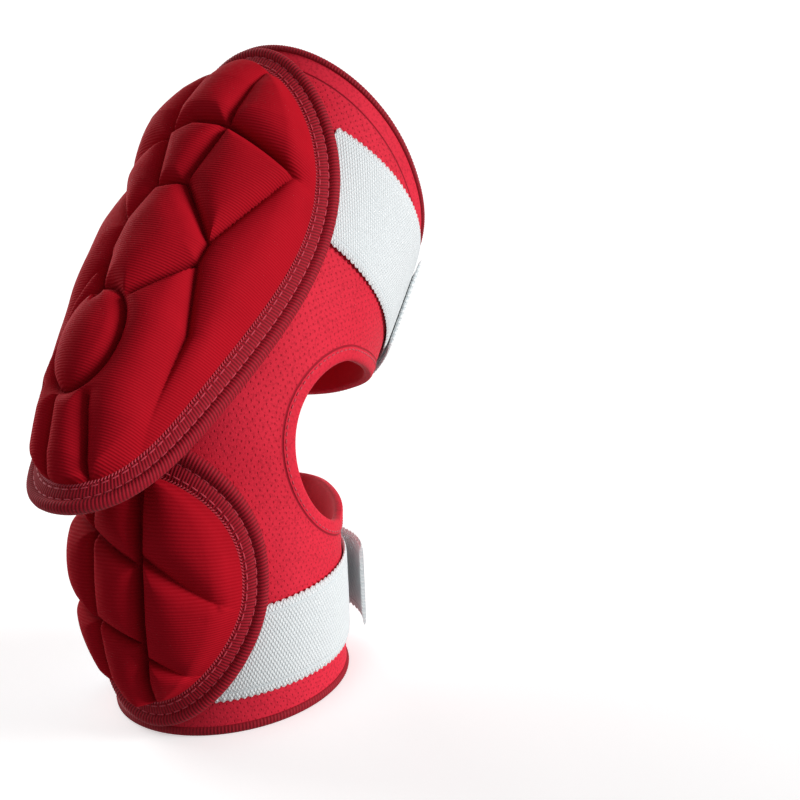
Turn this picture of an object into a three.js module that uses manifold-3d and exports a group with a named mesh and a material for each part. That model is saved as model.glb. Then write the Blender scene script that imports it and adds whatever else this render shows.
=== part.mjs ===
import * as THREE from 'three';
import { mergeVertices } from 'three/addons/utils/BufferGeometryUtils.js';
import Module from 'manifold-3d';

// Baseball arm guard: a bent sleeve with an elbow opening, two quilted pads and two elastic straps.
// Millimetres, +Z up. It stands on its lower rim at z = 0, with the pads facing -Y.
// A place on the sleeve is given by s along the arm, theta round it from the front, and height off it.

// Arm: straight forearm leaning back, an elbow arc, then a straight upper arm
const ARM = { lean: 10, forearm: 40, bendRadius: 120, bend: 40, upperArm: 67, cuff: 10 };
const HALF_WIDTH = { wrist: 41.3, upper: 45.7 };
const FRONT_DEPTH = { wrist: 38.4, upper: 52.5 };
const BACK_DEPTH = { wrist: 38.4, upper: 50 };
const BACK_NARROWING = 0.3;

// Sleeve cloth and its rims
const CLOTH = 3;
const GAP = 0.3;
const ON_CURVE = 0.45;
const TOP_RIM_SLOPE = { front: 0.39, back: 0.2 };
const RIM_BINDING = { width: 4, height: 3 };
const SLEEVE_ROUND = 40;
const SLEEVE_ROWS = 12;

// Elbow opening: a wedge with a rounded point, cut from side to side and smaller on the loop side
const OPENING = [
  { x: 60, y: 35.4, z: 79.5, radius: 28.2, topFall: 25 },
  { x: -60, y: 20.8, z: 76.7, radius: 20.9, topFall: 31 },
];
const OPENING_REACH = 62;
const OPENING_STEPS = 14;

// Pads: half width is a cubic in t, from -1 at the top end to 1 at the bottom end
const FLANGE = 9;
const SEAT = 0.45;
const FLANGE_PROFILE = [
  { inset: FLANGE - SEAT, height: 0 },
  { inset: FLANGE - SEAT, height: 3.4 },
  { inset: 4.4, height: 3.9 },
  { inset: 1.2, height: 3.7 },
  { inset: 0, height: 2.7 },
  { inset: 0.3, height: 0 },
];
const PAD_EDGE = 5;
const GROOVE_REACH = 5.5;
const GROOVE_FLOOR = 4;
const SHOULDER_RATE = 5;
const DOME_POWER = 1.7;
const BLUNT_END = 0.06;
const UNDER_COLUMNS = 8;
const UPPER_PAD = {
  top: 206.6, length: 181, roundness: 47.2, rows: 40, columns: 20, flangeSteps: 66,
  halfWidth: { c0: 46.6, c1: -13.1, c2: 1.4, c3: 13.8 },
  lift: { from: 60, full: 130, end: 178, height: 3 },
  crown: [
    { down: 0, middle: 5, side: 5 },
    { down: 12, middle: 10, side: 9 },
    { down: 22, middle: 15, side: 12.5 },
    { down: 35, middle: 18.5, side: 14 },
    { down: 60, middle: 18.5, side: 11 },
    { down: 90, middle: 18, side: 9 },
    { down: 125, middle: 18, side: 8.5 },
    { down: 150, middle: 16.5, side: 10 },
    { down: 165, middle: 13, side: 10 },
    { down: 181, middle: 5, side: 5 },
  ],
};
const LOWER_PAD = {
  top: 80.3, length: 83.5, roundness: 42.8, rows: 25, columns: 20, flangeSteps: 56,
  halfWidth: { c0: 42.3, c1: -10.1, c2: 0, c3: 0 },
  lift: { from: 0, full: 40, end: 80, height: 0 },
  crown: [
    { down: 0, middle: 5, side: 5 },
    { down: 12, middle: 9, side: 8 },
    { down: 45, middle: 13.5, side: 10 },
    { down: 65, middle: 14, side: 10 },
    { down: 76, middle: 11, side: 8 },
    { down: 83.5, middle: 5, side: 5 },
  ],
};

// Quilting grooves on the right half of each pad, mirrored on the left half
const UPPER_GROOVES = [
  { name: 'top cell side', a0: 10.5, d0: 10, a1: 10.5, d1: 41, deep: 4 },
  { name: 'top cell foot', a0: 0, d0: 40.5, a1: 10.5, d1: 41, deep: 4 },
  { name: 'shoulder foot', a0: 10.5, d0: 41, a1: 30.5, d1: 51.5, deep: 4.5 },
  { name: 'small cell side', a0: 10.5, d0: 41, a1: 5, d1: 63, deep: 3.5 },
  { name: 'small cell foot', a0: 0, d0: 65, a1: 5, d1: 63, deep: 3.5 },
  { name: 'diamond inner', a0: 5, d0: 63, a1: 17, d1: 86, deep: 4.5 },
  { name: 'diamond outer', a0: 30.5, d0: 51.5, a1: 17, d1: 86, deep: 2.5 },
  { name: 'shield side', a0: 17, d0: 86, a1: 16.6, d1: 94, deep: 4 },
  { name: 'shield foot', a0: 16.6, d0: 94, a1: 4.6, d1: 110, deep: 4.5 },
  { name: 'leaf outer', a0: 16.6, d0: 94, a1: 21, d1: 118, deep: 3.5 },
  { name: 'leaf lower', a0: 21, d0: 118, a1: 20, d1: 158, deep: 3 },
  { name: 'petal side', a0: 9, d0: 141, a1: 13, d1: 168, deep: 3.5 },
  { name: 'petal middle', a0: 0, d0: 144, a1: 0, d1: 172, deep: 3.5 },
];
const UPPER_OVAL = { down: 126, halfWidth: 10.8, halfLength: 18, deep: 4 };
const LOWER_GROOVES = [
  { name: 'column upper', a0: 11.5, d0: 0, a1: 11.5, d1: 35, deep: 4.5 },
  { name: 'column middle', a0: 11.5, d0: 35, a1: 9.5, d1: 55, deep: 4.5 },
  { name: 'column lower', a0: 9.5, d0: 55, a1: 5.5, d1: 80, deep: 4.5 },
  { name: 'upper cross', a0: 0, d0: 27, a1: 11.5, d1: 28, deep: 3.5 },
  { name: 'lower cross', a0: 0, d0: 50, a1: 10, d1: 50, deep: 3.5 },
  { name: 'upper slant', a0: 11.5, d0: 34, a1: 29, d1: 40, deep: 3 },
  { name: 'lower slant', a0: 9, d0: 57, a1: 20, d1: 63, deep: 3 },
];

// Straps, tabs and loops: the loop is flat, with one long bar held by the strap and one by the tab
const BAND = 1.4;
const TUCK = 6;
const CUT_BELOW = 3;
const TAB_TAIL = 5;
const TAB_SLOPE = 8.5;
const CLIMB = 18;
const DESCENT = 30;
const TAIL_RISE = 40;
const INNER_STEPS = 36;
const TURN_STEPS = 8;
const OUTER_STEPS = 24;
const OUTER_CROWDING = 1.3;
const TAB_STEPS = 18;
const SMALL_TURN = 0.01;
const LOOP = {
  width: 21, slot: 9, thick: 2.4, round: 0.8, corner: 6, slotCorner: 1.5, curveSteps: 3,
  play: 1.6, end: 5, height: 3.2,
};
const UPPER_FASTENING = {
  loopTheta: 279, tailTheta: 128, bandWidth: 40, tabWidth: { bar: 43, pad: 51 }, tailLift: 1,
  route: [
    { theta: 40, s: 165 },
    { theta: 90, s: 161 },
    { theta: 130, s: 159 },
    { theta: 190, s: 150 },
    { theta: 240, s: 148 },
    { theta: 279, s: 150 },
    { theta: 330, s: 151 },
  ],
};
const LOWER_FASTENING = {
  loopTheta: 285, tailTheta: 124, bandWidth: 30, tabWidth: { bar: 30, pad: 32 }, tailLift: 4,
  route: [
    { theta: 30, s: 20 },
    { theta: 100, s: 27 },
    { theta: 140, s: 34 },
    { theta: 200, s: 39 },
    { theta: 245, s: 31 },
    { theta: 270, s: 25 },
    { theta: 285, s: 24 },
    { theta: 330, s: 20 },
  ],
};

const wasm = await Module();
wasm.setup();

const rad = THREE.MathUtils.degToRad;
const { clamp, lerp, smoothstep } = THREE.MathUtils;

// Value of a table column at x, along straight lines between its rows
function lookUp(rows, xKey, yKey, x) {
  const next = rows.findIndex((row) => row[xKey] >= x);
  if (next === 0) return rows[0][yKey];
  if (next < 0) return rows[rows.length - 1][yKey];
  const from = rows[next - 1];
  const to = rows[next];
  return lerp(from[yKey], to[yKey], (x - from[xKey]) / (to[xKey] - from[xKey]));
}

// Centre line of the arm at s, with its tilt from upright
const ARC_LENGTH = ARM.bendRadius * rad(ARM.bend);
const ARM_LENGTH = ARM.forearm + ARC_LENGTH + ARM.upperArm;
const UPPER_START = ARM.forearm + ARC_LENGTH;

function armAxis(s) {
  const lean = rad(ARM.lean);
  const tilt = lean + clamp((s - ARM.forearm) / ARM.bendRadius, 0, rad(ARM.bend));
  const fore = Math.min(s, ARM.forearm);
  const rest = Math.max(0, s - UPPER_START);
  return {
    y: fore * Math.sin(lean) + ARM.bendRadius * (Math.cos(lean) - Math.cos(tilt)) + rest * Math.sin(tilt),
    z: fore * Math.cos(lean) + ARM.bendRadius * (Math.sin(tilt) - Math.sin(lean)) + rest * Math.cos(tilt),
    tilt,
  };
}

// Section of the sleeve: an egg, narrower at the back, as side and front distances from the axis
function section(s, theta, height) {
  const share = clamp((s - ARM.cuff) / (UPPER_START - ARM.cuff), 0, 1);
  const cos = Math.cos(theta);
  const depth = cos > 0 ? FRONT_DEPTH : BACK_DEPTH;
  const narrow = 1 - BACK_NARROWING * share * ((1 - cos) / 2) ** 2;
  return {
    side: (lerp(HALF_WIDTH.wrist, HALF_WIDTH.upper, share) * narrow + height) * Math.sin(theta),
    front: (lerp(depth.wrist, depth.upper, share) + height) * cos,
  };
}

// Point beside the arm axis at s: to the side along X and to the front of the arm
function fromAxis(axis, side, front) {
  return new THREE.Vector3(
    side,
    axis.y - front * Math.cos(axis.tilt),
    axis.z + front * Math.sin(axis.tilt),
  );
}

function sleevePoint(s, theta, height) {
  const { side, front } = section(s, theta, height);
  return fromAxis(armAxis(s), side, front);
}

// The lower rim is level and the upper rim slopes, so their s depends on theta
function lowerRim(theta, height) {
  return -section(0, theta, height).front * Math.tan(rad(ARM.lean));
}

function upperRim(theta) {
  const { front } = section(ARM_LENGTH, theta, 0);
  return ARM_LENGTH + front * (front > 0 ? TOP_RIM_SLOPE.front : TOP_RIM_SLOPE.back);
}

// Closed surface through rings of points, joined end to end or closed by a fan at each end
function skin(rings, isLoop) {
  const count = rings[0].length;
  const points = rings.flat();
  const index = [];
  const last = isLoop ? rings.length : rings.length - 1;
  for (let i = 0; i < last; i += 1) {
    const here = i * count;
    const there = ((i + 1) % rings.length) * count;
    for (let j = 0; j < count; j += 1) {
      const k = (j + 1) % count;
      index.push(here + j, there + j, there + k, here + j, there + k, here + k);
    }
  }
  if (!isLoop) {
    for (const [ring, start, turn] of [[rings[0], 0, 1], [rings.at(-1), last * count, -1]]) {
      const middle = ring.reduce((sum, p) => sum.add(p), new THREE.Vector3()).divideScalar(count);
      points.push(middle);
      for (let j = 0; j < count; j += 1) {
        const pair = [start + j, start + (j + 1) % count];
        index.push(points.length - 1, pair[turn > 0 ? 0 : 1], pair[turn > 0 ? 1 : 0]);
      }
    }
  }
  const geometry = new THREE.BufferGeometry().setFromPoints(points);
  geometry.setIndex(index);
  return signedVolume(points, index) < 0 ? flipped(geometry) : geometry;
}

function signedVolume(points, index) {
  let volume = 0;
  const across = new THREE.Vector3();
  for (let i = 0; i < index.length; i += 3) {
    across.crossVectors(points[index[i + 1]], points[index[i + 2]]);
    volume += points[index[i]].dot(across);
  }
  return volume;
}

function flipped(geometry) {
  geometry.setIndex(Array.from(geometry.index.array).reverse());
  return geometry;
}

// Boolean solid of a geometry, and back
function solid(geometry) {
  const bare = geometry.clone();
  bare.deleteAttribute('normal');
  bare.deleteAttribute('uv');
  const merged = mergeVertices(bare);
  return new wasm.Manifold(new wasm.Mesh({
    numProp: 3,
    vertProperties: new Float32Array(merged.attributes.position.array),
    triVerts: new Uint32Array(merged.index.array),
  }));
}

function surface(manifold) {
  const mesh = manifold.getMesh();
  const geometry = new THREE.BufferGeometry();
  geometry.setAttribute('position', new THREE.BufferAttribute(mesh.vertProperties, 3));
  geometry.setIndex(new THREE.BufferAttribute(mesh.triVerts, 1));
  return geometry;
}

// Geometry with others cut away from it
function without(geometry, others) {
  let rest = solid(geometry);
  for (const other of others) rest = rest.subtract(solid(other));
  return surface(rest);
}

// Sleeve: outer wall up, inner wall down, then the elbow opening cut from side to side
function sleeve() {
  const rings = [];
  for (let j = 0; j < SLEEVE_ROUND; j += 1) {
    const theta = (2 * Math.PI * j) / SLEEVE_ROUND;
    const wall = (height) => Array.from({ length: SLEEVE_ROWS + 1 }, (_, i) => {
      const clear = RIM_BINDING.height + GAP;
      const from = lowerRim(theta, height) + clear / Math.cos(rad(ARM.lean));
      return sleevePoint(lerp(from, upperRim(theta) - clear, i / SLEEVE_ROWS), theta, height);
    });
    rings.push([...wall(0), ...wall(-CLOTH).reverse()]);
  }
  return without(skin(rings, true), [elbowOpening()]);
}

function elbowOpening() {
  const rings = OPENING.map(({ x, y, z, radius, topFall }) => {
    const from = rad(90 - topFall);
    const to = rad(270);
    const ring = [];
    for (let i = 0; i <= OPENING_STEPS; i += 1) {
      const angle = lerp(from, to, i / OPENING_STEPS);
      ring.push(new THREE.Vector3(x, y + radius * Math.cos(angle), z + radius * Math.sin(angle)));
    }
    const away = new THREE.Vector3(0, OPENING_REACH, 0);
    const fall = new THREE.Vector3(0, 0, -OPENING_REACH * Math.tan(rad(topFall)));
    const lowerEnd = ring.at(-1).clone().add(away);
    const upperEnd = ring[0].clone().add(away).add(fall);
    return [...ring, lowerEnd, upperEnd];
  });
  return skin(rings, false);
}

// Rim bindings: a flat ring under the lower rim and a rounded one on the upper rim
function bottomBinding() {
  const half = (RIM_BINDING.width - CLOTH) / 2;
  const profile = [
    { out: half, up: 0 },
    { out: half, up: RIM_BINDING.height },
    { out: -CLOTH - half, up: RIM_BINDING.height },
    { out: -CLOTH - half, up: 0 },
  ];
  const rings = [];
  for (let j = 0; j < SLEEVE_ROUND; j += 1) {
    const theta = (2 * Math.PI * j) / SLEEVE_ROUND;
    rings.push(profile.map(({ out, up }) => {
      const rise = up / Math.cos(rad(ARM.lean));
      return sleevePoint(lowerRim(theta, out) + rise, theta, out);
    }));
  }
  return skin(rings, true);
}

function topBinding() {
  const half = (RIM_BINDING.width - CLOTH) / 2;
  const profile = [
    { out: half, up: -RIM_BINDING.height },
    { out: half, up: -RIM_BINDING.height / 3 },
    { out: -CLOTH / 2, up: 0 },
    { out: -CLOTH - half, up: -RIM_BINDING.height / 3 },
    { out: -CLOTH - half, up: -RIM_BINDING.height },
  ];
  const rings = [];
  for (let j = 0; j < SLEEVE_ROUND; j += 1) {
    const theta = (2 * Math.PI * j) / SLEEVE_ROUND;
    rings.push(profile.map(({ out, up }) => sleevePoint(upperRim(theta) + up, theta, out)));
  }
  return skin(rings, true);
}

// Place on the upper pad: a straight tongue along the upper arm that leaves the sleeve past the elbow
function upperPadPoint(across, down, height) {
  const theta = across / UPPER_PAD.roundness;
  const { side, front } = section(ARM_LENGTH, theta, height);
  const end = armAxis(ARM_LENGTH);
  const along = UPPER_PAD.top - down - ARM_LENGTH;
  const axis = {
    tilt: end.tilt,
    y: end.y + along * Math.sin(end.tilt),
    z: end.z + along * Math.cos(end.tilt),
  };
  return fromAxis(axis, side, front);
}

// Place on the lower pad, which lies on the forearm
function lowerPadPoint(across, down, height) {
  return sleevePoint(LOWER_PAD.top - down, across / LOWER_PAD.roundness, height);
}

// Half width of a pad at t, and its outline at an angle round it, moved in from the edge
function halfWidth(pad, t) {
  const { c0, c1, c2, c3 } = pad.halfWidth;
  return c0 + c1 * t + c2 * t ** 2 + c3 * t ** 3;
}

function outline(pad, angle, inset) {
  const t = -Math.cos(angle);
  const half = pad.length / 2;
  return { across: Math.sin(angle) * (halfWidth(pad, t) - inset), down: half + t * (half - inset) };
}

// Rise of the pad's seat above the sleeve, which arches towards the free end of the tongue
function padSeat(pad, across, down) {
  const t = clamp((2 * down) / pad.length - 1, -1, 1);
  const width = Math.max(halfWidth(pad, t) * Math.sqrt(1 - t * t), 1);
  const { from, full, end, height } = pad.lift;
  const arch = height * smoothstep(down, from, full) * (1 - smoothstep(down, full, end));
  return SEAT + arch * Math.max(0, 1 - (across / width) ** 2);
}

// Distance from a place on the pad to a groove, on its right half
function grooveDistance(groove, across, down) {
  const line = new THREE.Line3(
    new THREE.Vector3(groove.a0, groove.d0, 0),
    new THREE.Vector3(groove.a1, groove.d1, 0),
  );
  const place = new THREE.Vector3(Math.abs(across), down, 0);
  return line.closestPointToPoint(place, true, new THREE.Vector3()).distanceTo(place);
}

// Height of the quilted face: a dome across the pad, less the deepest groove there
function padFace(pad, grooves, oval, across, down, edgeShare) {
  const middle = lookUp(pad.crown, 'down', 'middle', down);
  const side = lookUp(pad.crown, 'down', 'side', down);
  const shoulder = (side - PAD_EDGE) * clamp((1 - edgeShare) * SHOULDER_RATE, 0, 1);
  const full = PAD_EDGE + shoulder + (middle - side) * (1 - edgeShare ** DOME_POWER);
  let cut = 0;
  for (const groove of grooves) {
    const near = 1 - smoothstep(grooveDistance(groove, across, down), 0, GROOVE_REACH);
    cut = Math.max(cut, near * groove.deep);
  }
  if (oval) {
    const ring = Math.hypot(across / oval.halfWidth, (down - oval.down) / oval.halfLength);
    const near = 1 - smoothstep(Math.abs(ring - 1) * oval.halfWidth, 0, GROOVE_REACH);
    cut = Math.max(cut, near * oval.deep);
  }
  return Math.max(full - cut, GROOVE_FLOOR);
}

// Padded body inside the flange, quilted above and plain beneath
function padBody(pad, pointAt, grooves, oval, bands) {
  const rings = [];
  for (let i = 0; i <= pad.rows; i += 1) {
    const angle = lerp(BLUNT_END, Math.PI - BLUNT_END, i / pad.rows);
    const { across: edge, down } = outline(pad, angle, FLANGE);
    const ring = [];
    for (let j = 0; j <= pad.columns; j += 1) {
      const share = (2 * j) / pad.columns - 1;
      const seat = padSeat(pad, share * edge, down);
      const face = padFace(pad, grooves, oval, share * edge, down, Math.abs(share));
      ring.push(pointAt(share * edge, down, seat + face));
    }
    for (let j = 0; j <= UNDER_COLUMNS; j += 1) {
      const share = 1 - (2 * j) / UNDER_COLUMNS;
      ring.push(pointAt(share * edge, down, padSeat(pad, share * edge, down)));
    }
    rings.push(ring);
  }
  return without(skin(rings, false), bands);
}

// Flange round a pad: a flat ribbed tape with a rolled outer edge, cut away over the bands sewn under it
function padFlange(pad, pointAt, bands) {
  const rings = [];
  for (let i = 0; i < pad.flangeSteps; i += 1) {
    const angle = (2 * Math.PI * i) / pad.flangeSteps;
    rings.push(FLANGE_PROFILE.map(({ inset, height }) => {
      const { across, down } = outline(pad, angle, inset);
      return pointAt(across, down, padSeat(pad, across, down) + height);
    }));
  }
  return without(skin(rings, true), bands);
}

// Angle round the sleeve of a pad's outer edge at s
function padEdgeTheta(pad, s) {
  const t = clamp((2 * (pad.top - s)) / pad.length - 1, -1, 1);
  return (halfWidth(pad, t) * Math.sqrt(1 - t * t)) / pad.roundness;
}

// Fastening: the loop's flat frame on the sleeve, and how theta and s follow the way x round from it
function fastening(spec, pad) {
  const loopTheta = rad(spec.loopTheta);
  const s = lookUp(spec.route, 'theta', 's', spec.loopTheta);
  const centre = sleevePoint(s, loopTheta, LOOP.height);
  const onward = sleevePoint(s, loopTheta + SMALL_TURN, LOOP.height).sub(centre);
  const along = sleevePoint(s + 1, loopTheta, LOOP.height).sub(centre).normalize();
  const out = new THREE.Vector3().crossVectors(onward, along).normalize();
  const across = new THREE.Vector3().crossVectors(along, out);
  const round = onward.length() / SMALL_TURN;
  const toTheta = (x) => loopTheta + x / round;
  return {
    ...spec, pad, s, round, toTheta, centre, across, along, out,
    toX: (theta) => (theta - loopTheta) * round,
    middle: (x) => lookUp(spec.route, 'theta', 's', THREE.MathUtils.radToDeg(toTheta(x))),
    plane: (x) => {
      const foot = sleevePoint(s, toTheta(x), 0);
      const rise = sleevePoint(s, toTheta(x), 1).sub(foot);
      return centre.clone().sub(foot).dot(out) / rise.dot(out);
    },
  };
}

const BAR_ROUND = LOOP.slot / 2 + LOOP.thick / 2;
const WRAP = LOOP.thick / 2 + ON_CURVE + BAND / 2;
const ON_SLEEVE = ON_CURVE + BAND / 2;
const ON_BAND = ON_CURVE + GAP + 1.5 * BAND;

// Angle round the sleeve at which a band of this width is tucked well under the pad's edge
function tuckTheta(f, width) {
  const edges = [-1, 1].map((side) => padEdgeTheta(f.pad, f.s + (side * width) / 2));
  return Math.min(...edges) - TUCK / f.round;
}

// Route of the strap in x and height: round the back, round its bar and back on itself
function strapRoute(f) {
  const start = f.toX(tuckTheta(f, f.bandWidth));
  const tail = f.toX(rad(f.tailTheta));
  const bar = -BAR_ROUND;
  const edge = -LOOP.width / 2 - GAP;
  const route = [];
  for (let i = 0; i <= INNER_STEPS; i += 1) {
    const x = lerp(start, bar, i / INNER_STEPS);
    route.push({ x, height: lerp(ON_SLEEVE, f.plane(bar) - WRAP, smoothstep(x, bar - CLIMB, bar)) });
  }
  for (let i = 1; i <= TURN_STEPS; i += 1) {
    const angle = (Math.PI * i) / TURN_STEPS;
    const x = bar + WRAP * Math.sin(angle);
    route.push({ x, height: f.plane(x) - WRAP * Math.cos(angle) });
  }
  for (let i = 1; i <= OUTER_STEPS; i += 1) {
    const x = lerp(bar, tail, (i / OUTER_STEPS) ** OUTER_CROWDING);
    const low = lerp(ON_BAND + f.tailLift, ON_BAND, smoothstep(x, tail, tail + TAIL_RISE));
    route.push({ x, height: lerp(low, f.plane(x) + WRAP, smoothstep(x, edge - DESCENT, edge)) });
  }
  return route;
}

// Route of the tab: from beneath its bar, round it and down under the pad's other edge
function tabRoute(f) {
  const end = f.toX(2 * Math.PI - tuckTheta(f, f.tabWidth.pad));
  const bar = BAR_ROUND;
  const route = [{ x: bar + TAB_TAIL, height: f.plane(bar) - WRAP }];
  for (let i = 0; i <= TURN_STEPS; i += 1) {
    const angle = (Math.PI * i) / TURN_STEPS;
    const x = bar - WRAP * Math.sin(angle);
    route.push({ x, height: f.plane(x) - WRAP * Math.cos(angle) });
  }
  for (let i = 1; i <= TAB_STEPS; i += 1) {
    const x = lerp(bar, end, i / TAB_STEPS);
    const near = 1 - smoothstep(x, LOOP.width / 2 + GAP, LOOP.width / 2 + TAB_SLOPE);
    route.push({ x, height: lerp(ON_SLEEVE, f.plane(x) + WRAP, near) });
  }
  return route;
}

// Flat band along a route; a grown one is used to cut
function band(f, route, widths, grow) {
  const half = BAND / 2 + grow;
  const under = -BAND / 2 - CUT_BELOW * grow;
  const rings = route.map((place, i) => {
    const before = route[Math.max(i - 1, 0)];
    const after = route[Math.min(i + 1, route.length - 1)];
    const way = new THREE.Vector2(after.x - before.x, after.height - before.height).normalize();
    const ends = { 0: -grow, [route.length - 1]: grow };
    const x = place.x + way.x * (ends[i] ?? 0);
    const corner = (side, out) => {
      const width = lerp(widths.bar, widths.pad, clamp(place.x / route.at(-1).x, 0, 1));
      const s = f.middle(place.x) + side * (width / 2 + grow);
      return sleevePoint(s, f.toTheta(x - way.y * out), place.height + way.x * out);
    };
    return [corner(-1, under), corner(-1, half), corner(1, half), corner(1, under)];
  });
  return skin(rings, false);
}

function strap(f, grow) {
  return band(f, strapRoute(f), { bar: f.bandWidth, pad: f.bandWidth }, grow);
}

function tab(f, grow) {
  return band(f, tabRoute(f), f.tabWidth, grow);
}

// Flat plastic loop with rounded corners, lying along the sleeve
function loop(f) {
  const half = LOOP.width / 2;
  const long = f.tabWidth.bar / 2 + LOOP.play + LOOP.end;
  const shape = roundedRectangle(new THREE.Shape(), half, long, LOOP.corner);
  const slot = roundedRectangle(new THREE.Path(), LOOP.slot / 2, long - LOOP.end, LOOP.slotCorner);
  shape.holes.push(slot);
  const depth = LOOP.thick - 2 * LOOP.round;
  const ring = new THREE.ExtrudeGeometry(shape, {
    depth,
    bevelThickness: LOOP.round,
    bevelSize: LOOP.round,
    bevelOffset: -LOOP.round,
    bevelSegments: 1,
    curveSegments: LOOP.curveSteps,
  });
  ring.translate(0, 0, -depth / 2);
  const frame = new THREE.Matrix4().makeBasis(f.across, f.along, f.out).setPosition(f.centre);
  return ring.applyMatrix4(frame);
}

function roundedRectangle(path, x, y, r) {
  path.absarc(x - r, y - r, r, 0, Math.PI / 2, false);
  path.absarc(-x + r, y - r, r, Math.PI / 2, Math.PI, false);
  path.absarc(-x + r, -y + r, r, Math.PI, 1.5 * Math.PI, false);
  path.absarc(x - r, -y + r, r, 1.5 * Math.PI, 2 * Math.PI, false);
  path.closePath();
  return path;
}

// Materials by part
const RED_MESH = { color: 0xd02a3c, roughness: 0.8, metalness: 0 };
const RED_KNIT = { color: 0xa5121f, roughness: 0.85, metalness: 0 };
const RED_TAPE = { color: 0x8a0c18, roughness: 0.8, metalness: 0 };
const WHITE_ELASTIC = { color: 0xeeeef0, roughness: 0.85, metalness: 0 };
const WHITE_WEBBING = { color: 0xf2f2f5, roughness: 0.7, metalness: 0 };
const LAVENDER_PLASTIC = { color: 0xe2e2f2, roughness: 0.25, metalness: 0 };

const guard = new THREE.Group();

function addPart(name, geometry, look) {
  geometry.computeVertexNormals();
  const mesh = new THREE.Mesh(geometry, new THREE.MeshStandardMaterial(look));
  mesh.name = name;
  guard.add(mesh);
}

const upper = fastening(UPPER_FASTENING, UPPER_PAD);
const lower = fastening(LOWER_FASTENING, LOWER_PAD);

const upperBands = [strap(upper, GAP), tab(upper, GAP)];
const lowerBands = [strap(lower, GAP), tab(lower, GAP)];

addPart('sleeve', sleeve(), RED_MESH);
addPart('top_binding', topBinding(), RED_TAPE);
addPart('bottom_binding', bottomBinding(), RED_TAPE);
addPart('upper_pad', padBody(UPPER_PAD, upperPadPoint, UPPER_GROOVES, UPPER_OVAL, upperBands), RED_KNIT);
addPart('upper_pad_binding', padFlange(UPPER_PAD, upperPadPoint, upperBands), RED_TAPE);
addPart('lower_pad', padBody(LOWER_PAD, lowerPadPoint, LOWER_GROOVES, null, lowerBands), RED_KNIT);
addPart('lower_pad_binding', padFlange(LOWER_PAD, lowerPadPoint, lowerBands), RED_TAPE);
for (const [name, f] of [['upper', upper], ['lower', lower]]) {
  addPart(`${name}_strap`, strap(f, 0), WHITE_ELASTIC);
  addPart(`${name}_tab`, tab(f, 0), WHITE_WEBBING);
  addPart(`${name}_loop`, loop(f), LAVENDER_PLASTIC);
}

// Origin under the middle of the guard, on the floor
const box = new THREE.Box3().setFromObject(guard);
const middle = box.getCenter(new THREE.Vector3());
for (const mesh of guard.children) mesh.geometry.translate(-middle.x, -middle.y, -box.min.z);

export default guard;
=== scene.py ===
import math

import bpy
import numpy as np
from mathutils import Matrix, Vector


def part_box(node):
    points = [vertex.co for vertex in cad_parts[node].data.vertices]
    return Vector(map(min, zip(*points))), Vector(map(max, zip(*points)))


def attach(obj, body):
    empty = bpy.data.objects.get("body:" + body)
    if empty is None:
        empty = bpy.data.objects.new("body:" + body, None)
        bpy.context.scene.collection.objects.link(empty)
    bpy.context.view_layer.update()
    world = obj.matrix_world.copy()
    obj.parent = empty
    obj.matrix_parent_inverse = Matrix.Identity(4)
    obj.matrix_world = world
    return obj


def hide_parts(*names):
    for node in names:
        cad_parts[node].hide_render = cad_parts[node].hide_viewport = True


# Looks of the baseball arm guard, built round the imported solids.
# Sizes are millimetres, with the lower rim's centre at the origin, and become metres in add_piece.
# A place on the sleeve is s along the arm, theta round it from the front, and height off it.

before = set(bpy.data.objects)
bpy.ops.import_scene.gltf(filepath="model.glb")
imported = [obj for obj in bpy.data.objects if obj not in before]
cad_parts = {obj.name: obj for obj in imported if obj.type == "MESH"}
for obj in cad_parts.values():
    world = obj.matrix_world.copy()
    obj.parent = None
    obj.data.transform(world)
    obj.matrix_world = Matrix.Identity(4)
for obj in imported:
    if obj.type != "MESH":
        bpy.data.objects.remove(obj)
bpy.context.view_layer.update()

# Millimetres in a metre
MM = 1000

# Arm and sleeve, as in the solids
LEAN = math.radians(10)
FOREARM = 40
BEND_RADIUS = 120
BEND = math.radians(40)
UPPER_ARM = 67
CUFF = 10
UPPER_START = FOREARM + BEND_RADIUS * BEND
ARM_LENGTH = UPPER_START + UPPER_ARM
HALF_WIDTH = (41.3, 45.7)
FRONT_DEPTH = (38.4, 52.5)
BACK_DEPTH = (38.4, 50)
BACK_NARROWING = 0.3
CLOTH = 3
GAP = 0.3
ON_CURVE = 0.45
TOP_RIM_SLOPE = (0.39, 0.2)
RIM_WIDTH = 4
RIM_HEIGHT = 3
RIM_LIP = (RIM_WIDTH - CLOTH) / 2
RIM_EASE = 8
RIM_TUCK = 0.8

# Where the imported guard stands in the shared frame
RIM_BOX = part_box("bottom_binding")
SHIFT = np.array([
    MM * (RIM_BOX[0].x + RIM_BOX[1].x) / 2,
    MM * RIM_BOX[0].y + (FRONT_DEPTH[0] + RIM_LIP) / math.cos(LEAN),
    0,
])

# Sleeve cloth
SLEEVE_ROWS = 150
SLEEVE_ROUND = 200
SLEEVE_RADIUS = 46
HEM = 5
HEM_RISE = 0.45
HEM_SLOPE = (0.6, 0.4)
RIM_SEAM = 9
EDGE_ROUND = 1.3
FOLD = 0.35
FOLDS_ROUND = 5
FOLD_TWIST = 9
FOLD_LENGTH = 13
FOLD_SWAY = 2
SWAYS_ROUND = 2
FOLDS_BEGIN = (12, 40)
FOLDS_END = (165, 185)
INNER_FOLD = 0.6
OPENING_X = (-60, 60)
OPENING_Y = (20.8, 35.4)
OPENING_Z = (76.7, 79.5)
OPENING_RADIUS = (20.9, 28.2)
OPENING_FALL = (31, 25)
CUT_HALVINGS = 12

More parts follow.
